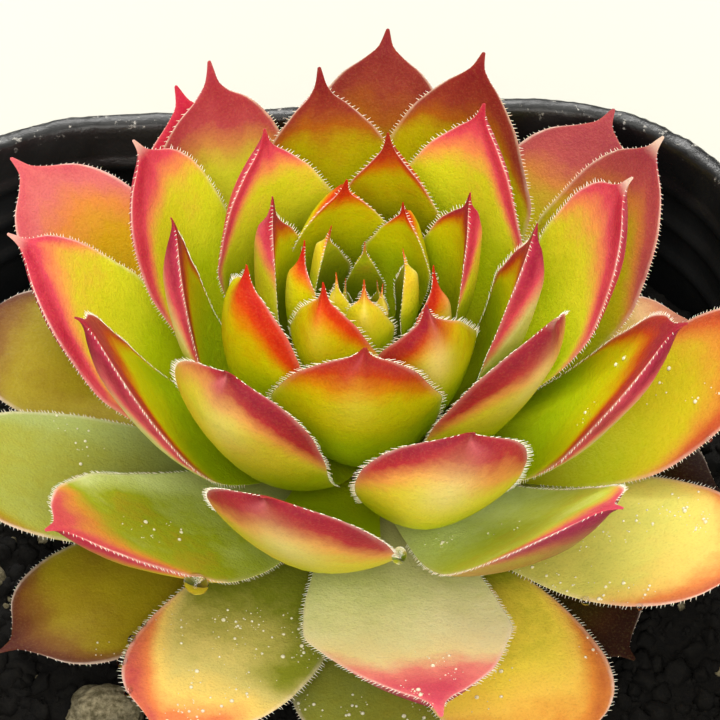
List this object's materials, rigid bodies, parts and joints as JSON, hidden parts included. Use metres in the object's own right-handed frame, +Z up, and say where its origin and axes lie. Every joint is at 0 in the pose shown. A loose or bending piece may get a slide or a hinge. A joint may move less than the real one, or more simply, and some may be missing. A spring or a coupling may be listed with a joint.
{
  "type": "hens and chicks succulent in a square nursery pot",
  "caption": "Spiral rosette of thick pointed succulent leaves on a short stem, growing in dark mix in a rounded-square black nursery pot.",
  "frame": {"origin": "middle of the pot's base, where it stands on the table", "axes": "+Z up; X and Y along the pot's flat sides; the front of the pot is towards -Y"},
  "size_m": [0.0858, 0.0858, 0.101],
  "materials": {
    "pot_plastic": "satin",
    "potting_mix": "matte",
    "pumice": "matte",
    "leaf_young": "satin",
    "leaf_middle": "satin",
    "leaf_old": "satin",
    "stem": "matte"
  },
  "bodies": {
    "root": {"pot": "pot_plastic", "soil": "potting_mix", "pumice_1": "pumice", "pumice_2": "pumice", "pumice_3": "pumice", "bud": "leaf_young", "leaf_01": "leaf_young", "leaf_02": "leaf_young", "leaf_03": "leaf_young", "leaf_04": "leaf_young", "leaf_05": "leaf_young", "leaf_06": "leaf_young", "leaf_07": "leaf_young", "leaf_08": "leaf_young", "leaf_09": "leaf_young", "leaf_10": "leaf_young", "leaf_11": "leaf_middle", "leaf_12": "leaf_middle", "leaf_13": "leaf_middle", "leaf_14": "leaf_middle", "leaf_15": "leaf_middle", "leaf_16": "leaf_middle", "leaf_17": "leaf_middle", "leaf_18": "leaf_middle", "leaf_19": "leaf_middle", "leaf_20": "leaf_middle", "leaf_21": "leaf_middle", "leaf_22": "leaf_middle", "leaf_23": "leaf_middle", "leaf_24": "leaf_middle", "leaf_25": "leaf_middle", "leaf_26": "leaf_middle", "leaf_27": "leaf_middle", "leaf_28": "leaf_middle", "leaf_29": "leaf_old", "leaf_30": "leaf_old", "leaf_31": "leaf_old", "leaf_32": "leaf_old", "leaf_33": "leaf_old", "leaf_34": "leaf_old", "leaf_35": "leaf_old", "leaf_36": "leaf_old", "leaf_37": "leaf_old", "leaf_38": "leaf_old", "leaf_39": "leaf_old", "leaf_40": "leaf_old", "leaf_41": "leaf_old", "leaf_42": "leaf_old", "leaf_43": "leaf_old", "leaf_44": "leaf_old", "leaf_45": "leaf_old", "leaf_46": "leaf_old", "leaf_47": "leaf_old", "leaf_48": "leaf_old", "stem": "stem"}
  },
  "joints": []
}
